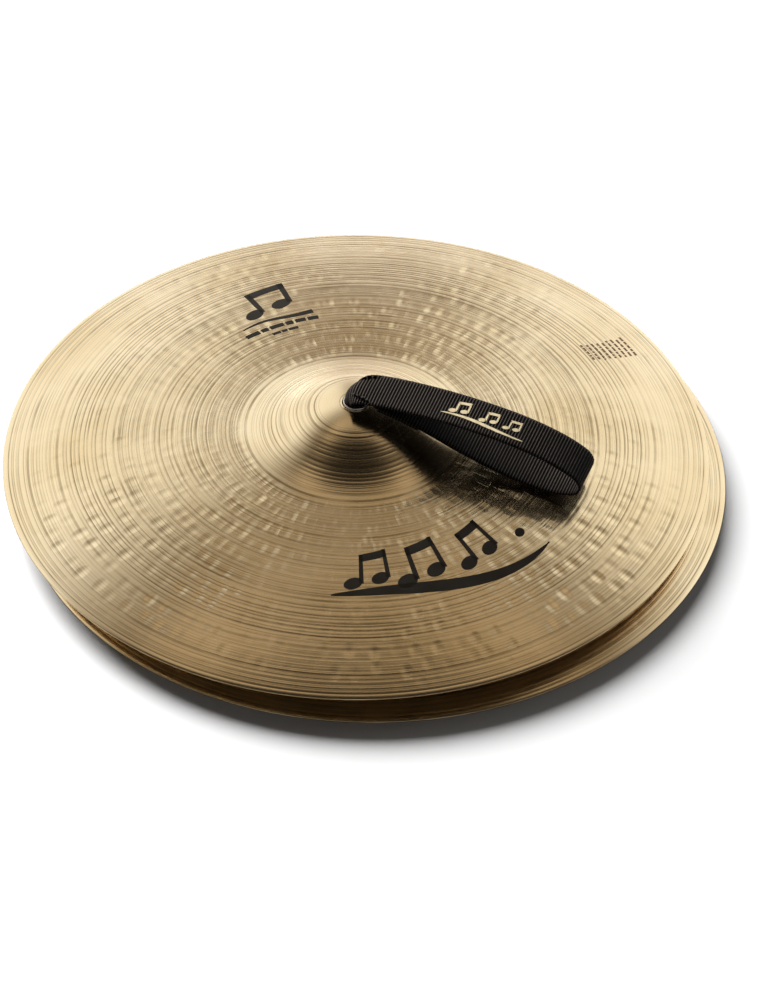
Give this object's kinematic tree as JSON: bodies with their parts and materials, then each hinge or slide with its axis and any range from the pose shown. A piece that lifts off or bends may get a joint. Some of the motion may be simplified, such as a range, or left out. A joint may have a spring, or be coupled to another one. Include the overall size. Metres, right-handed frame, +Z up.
{
  "type": "hand cymbals",
  "caption": "Pair of hammered and lathed bronze hand cymbals stacked bell up, each with a black webbing hand strap held inside the bell by a washer and toggle pin.",
  "frame": {"origin": "on the floor, midway between the two cymbals' axes", "axes": "+Z up through the bells, +X from the upper cymbal's axis towards the lower's"},
  "size_m": [0.4158, 0.4064, 0.0799],
  "materials": {
    "bronze": "hammered and lathed, clear lacquer",
    "steel": "plain turned",
    "leather": "vegetable tanned",
    "webbing": "ribbed woven nylon",
    "thread": "bonded nylon thread"
  },
  "bodies": {
    "lower_cymbal": {"lower_cymbal": "bronze"},
    "lower_swivel": {"lower_sleeve": "steel", "lower_washer": "leather", "lower_toggle_pin": "steel", "lower_strap_neck": "webbing"},
    "lower_loop": {"lower_strap_loop": "webbing", "lower_strap_stitching": "thread"},
    "upper_cymbal": {"upper_cymbal": "bronze"},
    "upper_swivel": {"upper_sleeve": "steel", "upper_washer": "leather", "upper_toggle_pin": "steel", "upper_strap_neck": "webbing"},
    "upper_loop": {"upper_strap_loop": "webbing", "upper_strap_stitching": "thread"}
  },
  "joints": [
    {"name": "upper_lift", "type": "slide", "parent": "lower_cymbal", "child": "upper_cymbal", "axis": [0, 0, 1], "range_m": [0, 0.25]},
    {"name": "upper_turn", "type": "hinge", "parent": "upper_cymbal", "child": "upper_swivel", "pos_m": [-0.00475, 0, 0.0173], "axis": [0, 0, 1], "continuous": true},
    {"name": "upper_loop_swing", "type": "hinge", "parent": "upper_swivel", "child": "upper_loop", "pos_m": [-0.00191, -0.00095, 0.0737], "axis": [-0.3173, -0.9483, 0], "range_deg": [0, 90]},
    {"name": "lower_turn", "type": "hinge", "parent": "lower_cymbal", "child": "lower_swivel", "pos_m": [0.00475, 0, 0], "axis": [0, 0, 1], "continuous": true},
    {"name": "lower_loop_swing", "type": "hinge", "parent": "lower_swivel", "child": "lower_loop", "pos_m": [0.00807, -0.00111, 0.05275], "axis": [0.3173, 0.9483, 0], "range_deg": [0, 80.5]}
  ],
  "couplings": [
    {"joint": "lower_loop_swing", "follows": "upper_lift", "rad_per_m": 5.5851}
  ]
}
